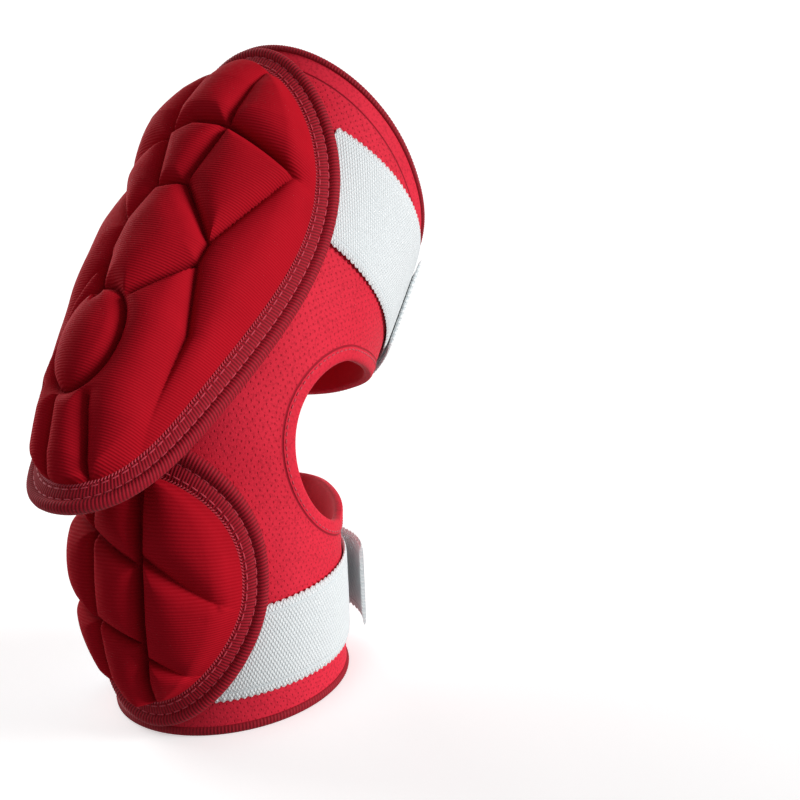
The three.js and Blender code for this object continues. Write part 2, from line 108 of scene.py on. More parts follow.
# Section of each rim's piping: out from the cloth, up, and share of the ribs
RIM_INSIDE = -CLOTH - RIM_LIP
LOWER_RIM = (
    (RIM_LIP - 0.5, 0, 0), (RIM_LIP, 0.5, 1), (RIM_LIP + 0.2, 1.5, 1), (RIM_LIP, 2.5, 1),
    (RIM_LIP - 0.6, 3, 0), (RIM_INSIDE + 0.6, 3, 0), (RIM_INSIDE, 2.5, -1),
    (RIM_INSIDE - 0.2, 1.5, -1), (RIM_INSIDE, 0.5, -1), (RIM_INSIDE + 0.5, 0, 0),
)
LOWER_RIM_LENGTH = 250
UPPER_RIM = (
    (RIM_LIP - 0.5, -3, 0), (RIM_LIP + 0.1, -2.6, 1), (RIM_LIP + 0.3, -1.6, 1), (RIM_LIP - 0.1, -0.6, 1),
    (-0.8, 0, 0), (RIM_INSIDE + 0.8, 0, 0), (RIM_INSIDE + 0.1, -0.6, -1),
    (RIM_INSIDE - 0.2, -1.6, -1), (RIM_INSIDE, -2.6, -1), (RIM_INSIDE + 0.5, -3, 0),
)
UPPER_RIM_LENGTH = 300

# Pads
FLANGE = 9
SEAT = 0.45
PAD_EDGE = 5
GROOVE_FLOOR = 4
SHOULDER_RATE = 5
SHOULDER_SPAN = (-0.3, 1.3)
DOME_POWER = 1.7
BLUNT_END = 0.03
CREASE_POWER = 2.5
UNDER_COLUMNS = 12
OUTLINE_STEPS = 4000

# Cloth simulation of the pad covers
COVER_ROWS = 5
COVER_COLUMNS = 4
COVER_FRAMES = 16
COVER_QUALITY = 6
COVER_MASS = 0.001
COVER_STIFFNESS = 2
COVER_PRESSURE = 12000
COVER_CAP = 2
COVER_SLACK = 0.7
HELD_CUT = 2.5
HELD_EDGE = (0.88, 0.97)
SWELL_POWER = 0.5

UPPER_PAD = {
    "top": 206.6, "length": 181, "roundness": 47.2, "rows": 420, "columns": 140,
    "half_width": (46.6, -13.1, 1.4, 13.8),
    "lift": (60, 130, 178, 3),
    "crown_down": (0, 12, 22, 35, 60, 90, 125, 150, 165, 181),
    "crown_middle": (5, 10, 15, 18.5, 18.5, 18, 18, 16.5, 13, 5),
    "crown_side": (5, 9, 12.5, 14, 11, 9, 8.5, 10, 10, 5),
    # Creases: across and down of both ends, depth at both ends,
    # then the reach to the inner or lower side and to the outer one
    "grooves": [
        (10.5, 8, 9.5, 42, 3, 5.5, 5, 6),
        (0, 41.5, 9.5, 42, 6, 6, 4, 8),
        (9.5, 42, 30.5, 51.5, 6.5, 6, 4, 9),
        (9.5, 42, 5, 66, 5.5, 5, 5, 5),
        (-1, 67.5, 5, 66, 5.5, 5.5, 4, 6),
        (5, 66, 17, 86, 6, 6, 5, 7.5),
        (30.5, 51.5, 17, 86, 4.5, 5, 5, 7),
        (17, 86, 16.6, 94, 5.5, 5.5, 5.5, 7),
        (16.6, 94, 4.6, 110, 6.2, 6.2, 8, 4),
        (16.6, 94, 21, 118, 5.5, 5.5, 6.5, 7),
        (21, 118, 20, 158, 5.5, 1.5, 7, 7),
        (4, 146, 8.5, 171, 5, 6, 5, 6),
        (-6, 147, -5.5, 173, 5, 5, 5, 5),
    ],
    # The left half's own creases, with across counted to the left
    "left_grooves": [
        (8, 8, 8, 46, 3, 5.5, 5, 6),
        (0, 41.5, 8, 46, 6, 6, 4, 8),
        (8, 46, 28, 56, 6.5, 6, 4, 9),
        (8, 46, 4, 67, 5.5, 5, 5, 5),
        (1, 67.5, 4, 68, 5.5, 5.5, 4, 6),
        (4, 68, 9.5, 82, 6, 6, 5, 7.5),
        (28, 54, 9.5, 82, 5.5, 5.5, 5, 7),
        (9.5, 82, 9.5, 96, 6, 6, 5.5, 7),
        (9.5, 96, 6, 110, 6.2, 6.2, 8, 4),
        (9.5, 96, 18, 112, 5.5, 5.5, 6.5, 7),
        (18, 112, 20, 158, 5.5, 1.5, 7, 7),
        (15, 143, 17.5, 165, 5, 6, 5, 6),
    ],
    "oval": (-3.5, 126.5, 10, 18.6, 5.6, 3.6, 5),
}
LOWER_PAD = {
    "top": 80.3, "length": 83.5, "roundness": 42.8, "rows": 260, "columns": 140,
    "half_width": (42.3, -10.1, 0, 0),
    "lift": (0, 40, 80, 0),
    "crown_down": (0, 12, 45, 65, 76, 83.5),
    "crown_middle": (5, 9, 13.5, 14, 11, 5),
    "crown_side": (5, 8, 10, 10, 8, 5),
    "grooves": [
        (-11.5, 0, -11.5, 35, 7, 7, 6, 5.5),
        (-11.5, 35, -10.5, 55, 7, 7, 6, 5.5),
        (-10.5, 55, -7.5, 80, 7, 6, 6, 5),
        (6, 0, 6, 35, 7, 7, 5.5, 6),
        (6, 35, 5, 55, 7, 7, 5.5, 6),
        (5, 55, 3, 80, 7, 6, 5, 6),
        (-11.5, 24, 6, 30.5, 5.5, 5.5, 4, 7.5),
        (-10.5, 46, 5, 52.5, 5.5, 5.5, 4, 7.5),
        (6, 28, 27, 39, 6, 2.5, 4.5, 8),
        (5, 57, 17, 63, 6, 2, 4.5, 7.5),
        (-29, 19, -11.5, 24, 3.5, 5.5, 4.5, 7.5),
        (-29, 42, -11.5, 47, 3.5, 5.5, 4.5, 7.5),
    ],
    "left_grooves": [],
    "oval": None,
}

# Binding round a pad, as inset from the outline and height over its seat
FLANGE_PROFILE = np.array([
    (9.3, 0.3), (9.4, 3.4), (8.6, 3.9), (7.6, 4), (6.2, 3.9), (4.9, 3.8), (4.2, 3.2),
    (3.7, 3.7), (3, 4.3), (2, 4.5), (1, 4.2), (0.3, 3.4), (0, 2.3), (0.2, 1.1), (0.6, 0),
])
BAND_ROOM = 2.4
RIB_PITCH = 1.15
RIB_DEPTH = 0.1
STEPS_PER_RIB = 5
# Inset where the ribs are evenly spaced, and the heights that part them from the underside
RIB_LINE = 2
RIBBED_OVER = 1
UNDERSIDE = 1.5
ROOM_FADE = (1, 5)

# Straps, tabs and loops
BAND = 1.4
BAND_STEP = 0.5
BAND_SQUARENESS = 8
STRAP_COLUMNS = 25
TAB_COLUMNS = 90
TUCK = 6
TAB_TAIL = 5
TAB_SLOPE = 8.5
TAB_CLEAR = 1
TAB_PLACES = 9
OVER_BAR = 0.19
CLIMB = 18
DESCENT = 30
TAIL_RISE = 40
TURN_STEPS = 16
ROUTE_EASE = 9
EASE_PLACES = 9
SELVEDGE = 3.2
PICOT_PITCH = 2.4
PICOT = 0.8
BEAD_PITCH = 2.4
BEAD_COLUMN = 2.7
BEAD = 0.45
BEAD_FULLNESS = 0.6
BEAD_DIP = 0.25
BEAD_SINK = 0.4
LOOP_WIDTH = 21
LOOP_SLOT = 9
LOOP_THICK = 2.4
LOOP_CORNER = 6
SLOT_CORNER = 1.5
CORNER_STEPS = 8
LOOP_PLAY = 1.6
LOOP_END = 5
LOOP_FULLNESS = 0.6
LOOP_SWELL = (1.2, 0.5)
LOOP_SIDES = 24
LOOP_SQUARENESS = 0.7
LOOP_HEIGHT = 3.2
BAR_ROUND = LOOP_SLOT / 2 + LOOP_THICK / 2
WRAP = LOOP_THICK / 2 + ON_CURVE + BAND / 2
ON_SLEEVE = ON_CURVE + BAND / 2
ON_BAND = ON_CURVE + GAP + 1.5 * BAND
UPPER_FASTENING = {
    "loop": 279, "tail": 128, "band": 40, "tab": (43, 51), "tail_lift": 0.1,
    "route_theta": (40, 90, 130, 190, 240, 279, 330),
    "route_s": (165, 161, 159, 150, 148, 150, 151),
}
LOWER_FASTENING = {
    "loop": 285, "tail": 124, "band": 30, "tab": (30, 32), "tail_lift": 4,
    "route_theta": (30, 100, 140, 200, 245, 270, 285, 330),
    "route_s": (20, 27, 34, 39, 31, 25, 24, 20),
}

# Thread
STITCH_PITCH = 3.4
STITCH_LENGTH = 2.5
STITCH_RADIUS = 0.27
STITCH_SIDES = 6
STITCH_AHEAD = 0.5
STITCH_LINE_STEP = 1
# Form of a stitch: place along it in half lengths, and share of its radius there
STITCH_SHAPE = np.array([(-1, 0.25), (-0.85, 0.75), (-0.5, 1), (0.5, 1), (0.85, 0.75), (1, 0.25)])
# Lines on a pad's tape, as inset from the outline and height
TAPE_STITCHES = ((4.3, 3.3), (7.4, 4))
OVERLOCK_LINE = (8.8, 3.9)
OVERLOCK_PITCH = 1.15
OVERLOCK_LENGTH = 1.7
OVERLOCK_SLANT = math.radians(50)
HEM_STITCHES = 3.8
HEM_PITCH = 2.3
HEM_STITCH = 1.5
ON_LINE = 0.05

# Bend past which an edge looks sharp, in degrees
SHARP = 50
SLEEVE_SHARP = 70
ROUNDED_SHARP = 80

# Colours: the two tones that a material drifts between, and its gaps, the painted highlight on its rib
# ridges or the painted shade in its creases
KNIT_TONES = ((0.36, 0.0036, 0.0105), (0.41, 0.0044, 0.0125))
# Painted highlight on the tops of the knit's ribs
KNIT_RIB_HIGHLIGHT = (0.51, 0.011, 0.025)
# Painted shade laid into the pad's creases
KNIT_CREASE_SHADE = (0.1, 0.001, 0.004)
SLEEVE_TONES = ((0.66, 0.016, 0.04), (0.73, 0.022, 0.05))
SLEEVE_GAP = (0.18, 0.001, 0.008)
LINING_TONES = ((0.6, 0.012, 0.035), (0.68, 0.018, 0.045))
TAPE_TONES = ((0.15, 0.002, 0.007), (0.18, 0.003, 0.009))
# Painted highlight on the tape's rib ridges
TAPE_RIB_HIGHLIGHT = (0.38, 0.007, 0.021)
PIPING_TONES = ((0.2, 0.003, 0.01), (0.25, 0.004, 0.013))
# Painted highlight on the piping's rib ridges
PIPING_RIB_HIGHLIGHT = (0.34, 0.006, 0.018)
ELASTIC_TONES = ((0.92, 0.96, 0.97), (0.95, 0.98, 0.99))
ELASTIC_GAP = (0.46, 0.52, 0.55)
WEBBING_TONES = ((0.84, 0.84, 0.9), (0.9, 0.9, 0.94))
WEBBING_GAP = (0.45, 0.45, 0.53)
PLASTIC_TONES = ((0.74, 0.74, 0.88), (0.8, 0.8, 0.92))
THREAD_TONES = ((0.44, 0.02, 0.045), (0.56, 0.06, 0.09))
FLOOR_TONES = ((0.88, 0.88, 0.88), (0.9, 0.9, 0.9))

# Patterns drawn in the materials
KNIT_RIB = 0.85
HOLE_PITCH = 2.6
HOLE_ROW = 1.5
HOLE_MARGIN = 0.3
SEAM_WIDTH = 0.55
ELASTIC_PITCH = 1.25
ELASTIC_ROW = 1.15
PLAIN_COLUMN = 0.35

# Floor, light and camera, with places in metres
# The floor sweeps up to the studio's wall, as radius and height
FLOOR_SWEEP = ((3, 0), (3.6, 0.03), (4.2, 0.16), (4.7, 0.4), (5.1, 0.8), (5.4, 1.4), (5.5, 2.2), (5.5, 9))
FLOOR_SIDES = 96
FLOOR_GLOW = 0.5
# Direction that each light comes from, its spread in degrees and its strength
LIGHTS = {"key": ((0.93, 0.3, 0.2), 25, 3.2), "fill": ((-0.9, 0.3, 0.35), 45, 2.2)}
SKY_STRENGTH = 0.27
CAMERA_AT = (0.36127, -0.414164, 0.261287)
CAMERA_TARGET = (0.002885, 0.014411, 0.108912)
CAMERA_ROLL = math.radians(-10.4)
CLIP_START = 0.01
FOCAL_PIXELS = 1638.7
IMAGE = 800
TARGET_PIXEL = (254.05, 342.83)
SENSOR = 36


# Shape helpers

def smoothstep(x, low, high):
    t = np.clip((x - low) / (high - low), 0, 1)
    return t * t * (3 - 2 * t)


def between(pair, share):
    return pair[0] + (pair[1] - pair[0]) * share


def unit(ways):
    return ways / np.linalg.norm(ways, axis=-1, keepdims=True)


# Length walked along a line of points up to each of them
def walked(points):
    return np.append(0, np.cumsum(np.linalg.norm(np.diff(points, axis=0), axis=1)))


# Values at places along a line that are known at its points
def sample(places, length, values):
    return np.stack([np.interp(places, length, column) for column in values.T], -1)


def arm_axis(s):
    tilt = LEAN + np.clip((s - FOREARM) / BEND_RADIUS, 0, BEND)
    fore = np.minimum(s, FOREARM)
    rest = np.maximum(s - UPPER_START, 0)
    y = fore * math.sin(LEAN) + BEND_RADIUS * (math.cos(LEAN) - np.cos(tilt)) + rest * np.sin(tilt)
    z = fore * math.cos(LEAN) + BEND_RADIUS * (np.sin(tilt) - math.sin(LEAN)) + rest * np.cos(tilt)
    return y, z, tilt


# Egg section of the sleeve as side and front distances from the axis
def section(s, theta, height):
    share = np.clip((s - CUFF) / (UPPER_START - CUFF), 0, 1)
    cos = np.cos(theta)
    depth = np.where(cos > 0, between(FRONT_DEPTH, share), between(BACK_DEPTH, share))
    narrow = 1 - BACK_NARROWING * share * ((1 - cos) / 2) ** 2
    side = (between(HALF_WIDTH, share) * narrow + height) * np.sin(theta)
    return side, (depth + height) * cos


def from_axis(axis, side, front):
    y, z, tilt = axis
    parts = np.broadcast_arrays(side, y - front * np.cos(tilt), z + front * np.sin(tilt))
    return np.stack(parts, -1)


def sleeve_point(s, theta, height):
    side, front = section(s, theta, height)
    return from_axis(arm_axis(s), side, front)


def lower_rim(theta, height):
    return -section(0, theta, height)[1] * math.tan(LEAN)


def upper_rim(theta):
    front = section(ARM_LENGTH, theta, 0)[1]
    ahead = (front + np.hypot(front, RIM_EASE)) / 2
    return ARM_LENGTH + front * TOP_RIM_SLOPE[1] + ahead * (TOP_RIM_SLOPE[0] - TOP_RIM_SLOPE[1])


def upper_pad_point(across, down, height):
    side, front = section(ARM_LENGTH, across / UPPER_PAD["roundness"], height)
    y, z, tilt = arm_axis(np.float64(ARM_LENGTH))
    along = UPPER_PAD["top"] - down - ARM_LENGTH
    return from_axis((y + along * np.sin(tilt), z + along * np.cos(tilt), tilt), side, front)


def lower_pad_point(across, down, height):
    return sleeve_point(LOWER_PAD["top"] - down, across / LOWER_PAD["roundness"], height)


# Mesh helpers

def grid_faces(rows, columns, loop_rows=False, loop_columns=True):
    i = np.arange(rows if loop_rows else rows - 1)[:, None]
    j = np.arange(columns if loop_columns else columns - 1)
    here = i * columns
    there = (i + 1) % rows * columns
    right = (j + 1) % columns
    return np.stack([here + j, there + j, there + right, here + right], -1).reshape(-1, 4).tolist()


# A tube through rings of points, with flat ends unless it closes on itself
def tube_faces(rows, columns, loop_rows):
    faces = grid_faces(rows, columns, loop_rows)
    if not loop_rows:
        last = (rows - 1) * columns
        faces.append(list(range(columns)))
        faces.append(list(range(last + columns - 1, last - 1, -1)))
    return faces


def signed_volume(points, faces):
    first = np.array([face[0] for face in faces])
    total = 0
    for k in range(1, max(map(len, faces)) - 1):
        wide = [n for n, face in enumerate(faces) if len(face) > k + 1]
        b = np.array([faces[n][k] for n in wide])
        c = np.array([faces[n][k + 1] for n in wide])
        total += np.einsum("ij,ij->i", points[first[wide]], np.cross(points[b], points[c])).sum()
    return total


# Piece of the guard: a closed mesh in metres with a uv map in millimetres, u repeating after period
def add_piece(name, points, faces, uv, materials, period=None, nodes=(), sharp=SHARP):
    points = np.asarray(points, float).reshape(-1, 3)
    if signed_volume(points, faces) < 0:
        faces = [face[::-1] for face in faces]
    mesh = bpy.data.meshes.new(name)
    mesh.from_pydata(((points + SHIFT) / MM).tolist(), [], faces)
    corners = np.zeros(len(mesh.loops), int)
    mesh.loops.foreach_get("vertex_index", corners)
    places = np.asarray(uv, float).reshape(-1, 2)[corners]
    if period:
        starts = np.zeros(len(mesh.polygons), int)
        mesh.polygons.foreach_get("loop_start", starts)
        counts = np.diff(np.append(starts, len(corners)))
        far = np.repeat(np.maximum.reduceat(places[:, 0], starts), counts) - places[:, 0]
        places[:, 0] += np.where(far > period / 2, period, 0)
    mesh.uv_layers.new(name="weave").data.foreach_set("uv", places.ravel())
    mesh.polygons.foreach_set("use_smooth", [True] * len(mesh.polygons))
    mesh.set_sharp_from_angle(angle=math.radians(sharp))
    for material in materials:
        mesh.materials.append(material)
    piece = bpy.data.objects.new(name, mesh)
    bpy.context.scene.collection.objects.link(piece)
    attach(piece, "root")
    if nodes:
        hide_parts(*nodes)
    return piece


def add_attribute(piece, name, values):
    piece.data.attributes.new(name, "FLOAT", "POINT").data.foreach_set("value", np.asarray(values, float))


# Materials

class Look:
    """Node tree of one material, built in short steps."""

    def __init__(self, name, **values):
        self.material = bpy.data.materials.new(name)
        self.material.use_nodes = True
        self.tree = self.material.node_tree
        self.shader = self.tree.nodes["Principled BSDF"]
        for socket, value in values.items():
            self.shader.inputs[socket.replace("_", " ")].default_value = value

    def node(self, kind, inputs=None, **settings):
        made = self.tree.nodes.new("ShaderNode" + kind)
        for key, value in settings.items():
            setattr(made, key, value)
        for key, value in (inputs or {}).items():
            if isinstance(value, bpy.types.NodeSocket):
                self.tree.links.new(value, made.inputs[key])
            else:
                made.inputs[key].default_value = value
        return made

    def math(self, operation, a, b=0.0):
        return self.node("Math", {0: a, 1: b}, operation=operation).outputs[0]

    def part(self, value, share):
        return self.math("MULTIPLY", value, share)

    def inverse(self, value):
        return self.math("SUBTRACT", 1.0, value)

    def ramp(self, value, low, high):
        inputs = {"Value": value, "From Min": low, "From Max": high}
        return self.node("MapRange", inputs, interpolation_type="SMOOTHSTEP").outputs["Result"]

    def weave(self):
        return self.node("UVMap", uv_map="weave").outputs["UV"]

    def along(self, axis):
        return self.node("SeparateXYZ", {0: self.weave()}).outputs[axis]

    def wave(self, axis, pitch, kind="SINE"):
        return self.math(kind, self.part(self.along(axis), share=2 * math.pi / pitch))

    # Distance to the nearest of a staggered lattice of points, in cells
    def dots(self, pitch, row):
        scale = math.sqrt(2)
        inputs = {"Vector": self.weave(), "Scale": (scale / pitch, scale / (2 * row), 1)}
        flat = self.node("Mapping", inputs).outputs[0]
        turned = self.node("Mapping", {"Vector": flat, "Rotation": (0, 0, math.pi / 4)}).outputs[0]
        lattice = {"Vector": turned, "Scale": 1.0, "Randomness": 0.0}
        return self.node("TexVoronoi", lattice, voronoi_dimensions="2D").outputs["Distance"]

    def noise(self, size):
        place = self.node("TexCoord").outputs["Object"]
        inputs = {"Vector": place, "Scale": MM / size, "Detail": 3.0}
        return self.node("TexNoise", inputs).outputs["Fac"]

    def attribute(self, name):
        return self.node("Attribute", attribute_name=name).outputs["Fac"]

    def mix(self, share, a, b):
        a, b = (end if isinstance(end, bpy.types.NodeSocket) else (*end, 1) for end in (a, b))
        return self.node("Mix", {0: share, 6: a, 7: b}, data_type="RGBA").outputs[2]

    # Colour that drifts between two tones over patches of the given size
    def drift(self, tones, size, low=0.3, high=0.7):
        return self.mix(self.ramp(self.noise(size), low, high), *tones)

    def colour(self, socket):
        self.tree.links.new(socket, self.shader.inputs["Base Color"])

    def roughness(self, socket, low, high):
        spread = self.math("MULTIPLY_ADD", socket, high - low)
        spread.node.inputs[2].default_value = low
        self.tree.links.new(spread, self.shader.inputs["Roughness"])

    def bump(self, *layers):
        normal = None
        for height, depth in layers:
            inputs = {"Height": height, "Distance": depth / MM, "Strength": 1.0}
            if normal:
                inputs["Normal"] = normal
            normal = self.node("Bump", inputs).outputs[0]
        self.tree.links.new(normal, self.shader.inputs["Normal"])


def pad_knit():
    look = Look("pad_knit", Specular_IOR_Level=0.03)
    rib = look.wave("Y", KNIT_RIB)
    fleck = look.noise(size=1.2)
    base = look.drift(KNIT_TONES, size=24, low=0.35, high=0.65)
    # Painted highlight on the rib ridges
    rib_highlight = look.part(look.ramp(rib, low=-1, high=0.6), share=0.32)
    # Painted shade in the creases, darker where they cut deeper
    crease = look.part(look.ramp(look.attribute("crease"), low=2.5, high=6), share=0.55)
    look.colour(look.mix(crease, look.mix(rib_highlight, base, KNIT_RIB_HIGHLIGHT), KNIT_CREASE_SHADE))
    look.roughness(fleck, low=0.65, high=0.9)
    look.bump((rib, 0.05), (fleck, 0.06))
    return look.material


def sleeve_mesh():
    look = Look("sleeve_mesh", Sheen_Weight=0.04, Sheen_Roughness=0.4, Specular_IOR_Level=0.15)
    fine = look.noise(size=0.9)
    hole = look.ramp(look.dots(HOLE_PITCH, HOLE_ROW), low=0.2, high=0.09)
    seams = []
    for distance, place in (("edge", HEM), ("below_rim", RIM_SEAM)):
        past = look.math("SUBTRACT", look.attribute(distance), place)
        hole = look.math("MULTIPLY", hole, look.ramp(past, low=0, high=HOLE_MARGIN))
        seams.append(look.ramp(look.math("ABSOLUTE", past), low=SEAM_WIDTH, high=0.1))
    seam = look.math("MAXIMUM", *seams)
    marks = look.math("MAXIMUM", look.part(hole, share=0.44), look.part(seam, share=0.75))
    grain = look.part(look.ramp(fine, low=0.45, high=0.7), share=0.36)
    dark = look.math("MAXIMUM", marks, grain)
    look.colour(look.mix(dark, look.drift(SLEEVE_TONES, size=30), SLEEVE_GAP))
    look.roughness(look.noise(size=30), low=0.65, high=0.85)
    look.bump((fine, 0.08), (look.inverse(marks), 0.35))
    return look.material


def sleeve_lining():
    look = Look("sleeve_lining", Sheen_Weight=0.05, Specular_IOR_Level=0.15)
    fine = look.noise(size=0.8)
    look.colour(look.drift(LINING_TONES, size=18))
    look.roughness(fine, low=0.7, high=0.9)
    look.bump((fine, 0.06))
    return look.material


# Ribbed cloth, its ribs at the pitch of those in the mesh, with a painted highlight on the rib ridges
def ribbed_cloth(name, tones, rib_highlight, rib_highlight_top, sheen, specular):
    look = Look(name, Sheen_Weight=sheen, Specular_IOR_Level=specular)
    rib = look.wave("X", RIB_PITCH, "COSINE")
    fine = look.noise(size=0.7)
    look.colour(look.mix(look.ramp(rib, low=-0.9, high=rib_highlight_top), look.drift(tones, size=16), rib_highlight))
    look.roughness(fine, low=0.6, high=0.8)
    look.bump((fine, 0.08))
    return look.material


def tape():
    return ribbed_cloth("tape", TAPE_TONES, TAPE_RIB_HIGHLIGHT, rib_highlight_top=0.8, sheen=0.02, specular=0.15)


def piping():
    return ribbed_cloth("piping", PIPING_TONES, PIPING_RIB_HIGHLIGHT, rib_highlight_top=1.6, sheen=0.03, specular=0.2)


def elastic():
    look = Look(
        "elastic", Sheen_Weight=0.05, Specular_IOR_Level=0.2, Subsurface_Weight=0.5, Subsurface_Scale=0.002,
        Subsurface_Radius=(1, 1, 1),
    )
    gap = look.ramp(look.dots(ELASTIC_PITCH, ELASTIC_ROW), low=0.12, high=0.55)
    from_selvedge = look.math("SUBTRACT", look.attribute("from_side"), SELVEDGE)
    line = look.ramp(look.math("ABSOLUTE", from_selvedge), low=0.6, high=0.15)
    dark = look.math("MAXIMUM", look.part(gap, share=0.42), look.part(line, share=0.5))
    look.colour(look.mix(dark, look.drift(ELASTIC_TONES, size=20), ELASTIC_GAP))
    look.roughness(look.noise(size=20), low=0.7, high=0.9)
    look.bump((look.inverse(look.math("MAXIMUM", gap, line)), 0.35), (look.noise(size=0.45), 0.1))
    return look.material


# Webbing with beaded and plain columns in turn, the beads slanting both ways from the column's middle
def webbing():
    look = Look("webbing", Sheen_Weight=0.1, Specular_IOR_Level=0.35)
    fine = look.noise(size=0.6)
    column = look.math("DIVIDE", look.along("X"), BEAD_COLUMN)
    from_middle = look.math("ABSOLUTE", look.math("SUBTRACT", look.math("FRACT", column), 0.5))
    row = look.math("ADD", look.math("DIVIDE", look.along("Y"), BEAD_PITCH), from_middle)
    gap = look.ramp(look.math("COSINE", look.part(row, share=2 * math.pi)), low=-0.1, high=-0.95)
    beaded = look.math("GREATER_THAN", look.math("FRACT", look.part(column, share=0.5)), 0.5)
    strength = look.math("ADD", look.part(beaded, share=1 - PLAIN_COLUMN), PLAIN_COLUMN)
    side = look.part(look.ramp(from_middle, low=0.36, high=0.5), share=0.7)
    dark = look.math("MAXIMUM", look.math("MULTIPLY", gap, strength), side)
    look.colour(look.mix(look.part(dark, share=0.6), look.drift(WEBBING_TONES, size=12), WEBBING_GAP))
    look.roughness(fine, low=0.5, high=0.75)
    look.bump((look.inverse(dark), 0.3), (fine, 0.06))
    return look.material


def loop_plastic():
    look = Look(
        "loop_plastic", Subsurface_Weight=0.3, Subsurface_Scale=0.002, Coat_Weight=0.3,
        Coat_Roughness=0.15, Specular_IOR_Level=0.5,
    )
    look.colour(look.drift(PLASTIC_TONES, size=8))
    look.roughness(look.noise(size=8), low=0.22, high=0.32)
    look.bump((look.noise(size=1.5), 0.01))
    return look.material


def thread():
    look = Look("thread", Sheen_Weight=0.1, Specular_IOR_Level=0.3)
    fine = look.noise(size=0.5)
    look.colour(look.mix(fine, *THREAD_TONES))
    look.roughness(fine, low=0.5, high=0.7)
    look.bump((fine, 0.05))
    return look.material


LOOKS = {
    make.__name__: make()
    for make in (pad_knit, sleeve_mesh, sleeve_lining, tape, piping, elastic, webbing, loop_plastic, thread)
}


# Sleeve: an outer and an inner wall, cut by the elbow opening

# How far a point lies inside the opening
def opening_depth(point):
    share = np.clip((point[..., 0] - OPENING_X[0]) / (OPENING_X[1] - OPENING_X[0]), 0, 1)
    radius = between(OPENING_RADIUS, share)
    fall = np.radians(between(OPENING_FALL, share))
    y = point[..., 1] - between(OPENING_Y, share)
    z = point[..., 2] - between(OPENING_Z, share)
    under_top = radius - (y * np.sin(fall) + z * np.cos(fall))
    over_foot = radius + z
    at_point = (y < 0) | (y * np.cos(fall) < z * np.sin(fall))
    return np.where(at_point, radius - np.hypot(y, z), np.minimum(under_top, over_foot))


# Cut a quad grid at the line where depth passes zero, with the new points put on that line
def cut_grid(quads, s, theta, depth, depth_at):
    inside = depth > 0
    s, theta = list(s), list(theta)
    made = {}

    def crossing(a, b):
        key = (min(a, b), max(a, b))
        if key not in made:
            a, b = key
            turn = theta[b] - theta[a]
            turn -= 2 * math.pi * round(turn / (2 * math.pi))
            low, high = 0.0, 1.0
            for _ in range(CUT_HALVINGS):
                share = (low + high) / 2
                within = depth_at(s[a] + share * (s[b] - s[a]), theta[a] + share * turn) > 0
                if within == inside[a]:
                    low = share
                else:
                    high = share
            made[key] = len(s)
            s.append(s[a] + low * (s[b] - s[a]))
            theta.append((theta[a] + low * turn) % (2 * math.pi))
        return made[key]

    faces = []
    for quad in quads:
        marks = [inside[v] for v in quad]
        if all(marks):
            continue
        if not any(marks):
            faces.append(quad)
            continue
        face = []
        for v, w in zip(quad, quad[1:] + quad[:1]):
            if not inside[v]:
                face.append(v)
            if inside[v] != inside[w]:
                face.append(crossing(v, w))
        faces.append(face)
    used = sorted({v for face in faces for v in face})
    new = {v: n for n, v in enumerate(used)}
    return [[new[v] for v in face] for face in faces], np.array(s)[used], np.array(theta)[used]


def outer_edges(faces):
    edges = {(a, b) for face in faces for a, b in zip(face, face[1:] + face[:1])}
    return [(a, b) for a, b in sorted(edges) if (b, a) not in edges]


# Grid of the sleeve, cut by the opening with a margin round it
def cut_sleeve(margin):
    theta = 2 * math.pi * np.arange(SLEEVE_ROUND) / SLEEVE_ROUND
    share = np.linspace(0, 1, SLEEVE_ROWS + 1)[:, None]
    clear = RIM_HEIGHT - RIM_TUCK
    s = between((lower_rim(theta, 0) + clear / math.cos(LEAN), upper_rim(theta) - clear), share)
    theta = np.broadcast_to(theta, s.shape)
    quads = grid_faces(SLEEVE_ROWS + 1, SLEEVE_ROUND)

    def depth_at(a, b):
        return opening_depth(sleeve_point(np.float64(a), np.float64(b), 0)) + margin

    depth = opening_depth(sleeve_point(s, theta, 0)).ravel() + margin
    return cut_grid(quads, s.ravel(), theta.ravel(), depth, depth_at)


# Loose folds of the sleeve, which die out towards its rims
def sleeve_fold(s, theta):
    sway = FOLD_SWAY * np.sin(theta * SWAYS_ROUND)
    fold = FOLD * np.sin(theta * FOLDS_ROUND + s / FOLD_TWIST) * np.sin(s / FOLD_LENGTH + sway)
    return fold * smoothstep(s, *FOLDS_BEGIN) * (1 - smoothstep(s, *FOLDS_END))


def build_sleeve():
    faces, s, theta = cut_sleeve(0)
    edge = np.maximum(-opening_depth(sleeve_point(s, theta, 0)), 0)
    fold = sleeve_fold(s, theta)
    hem = HEM_RISE * (1 - smoothstep(edge, HEM - HEM_SLOPE[0], HEM + HEM_SLOPE[1]))
    rounding = EDGE_ROUND * np.clip(1 - edge / EDGE_ROUND, 0, 1) ** 2 / 2
    outer = sleeve_point(s, theta, fold + hem - rounding)
    inner = sleeve_point(s, theta, fold * INNER_FOLD - CLOTH + rounding)
    count = len(outer)
    walls = faces + [[v + count for v in face[::-1]] for face in faces]
    walls += [[b, a, a + count, b + count] for a, b in outer_edges(faces)]
    uv = np.stack([theta * SLEEVE_RADIUS, s], -1)
    materials = [LOOKS["sleeve_mesh"], LOOKS["sleeve_lining"]]
    piece = add_piece(
        "sleeve_cloth", np.concatenate([outer, inner]), walls, np.tile(uv, (2, 1)), materials,
        period=2 * math.pi * SLEEVE_RADIUS, nodes=["sleeve"], sharp=SLEEVE_SHARP,
    )
    lining = np.zeros(len(walls), int)
    lining[len(faces):2 * len(faces)] = 1
    piece.data.polygons.foreach_set("material_index", lining)
    add_attribute(piece, "edge", np.tile(edge, 2))
    add_attribute(piece, "below_rim", np.tile(upper_rim(theta) - s, 2))


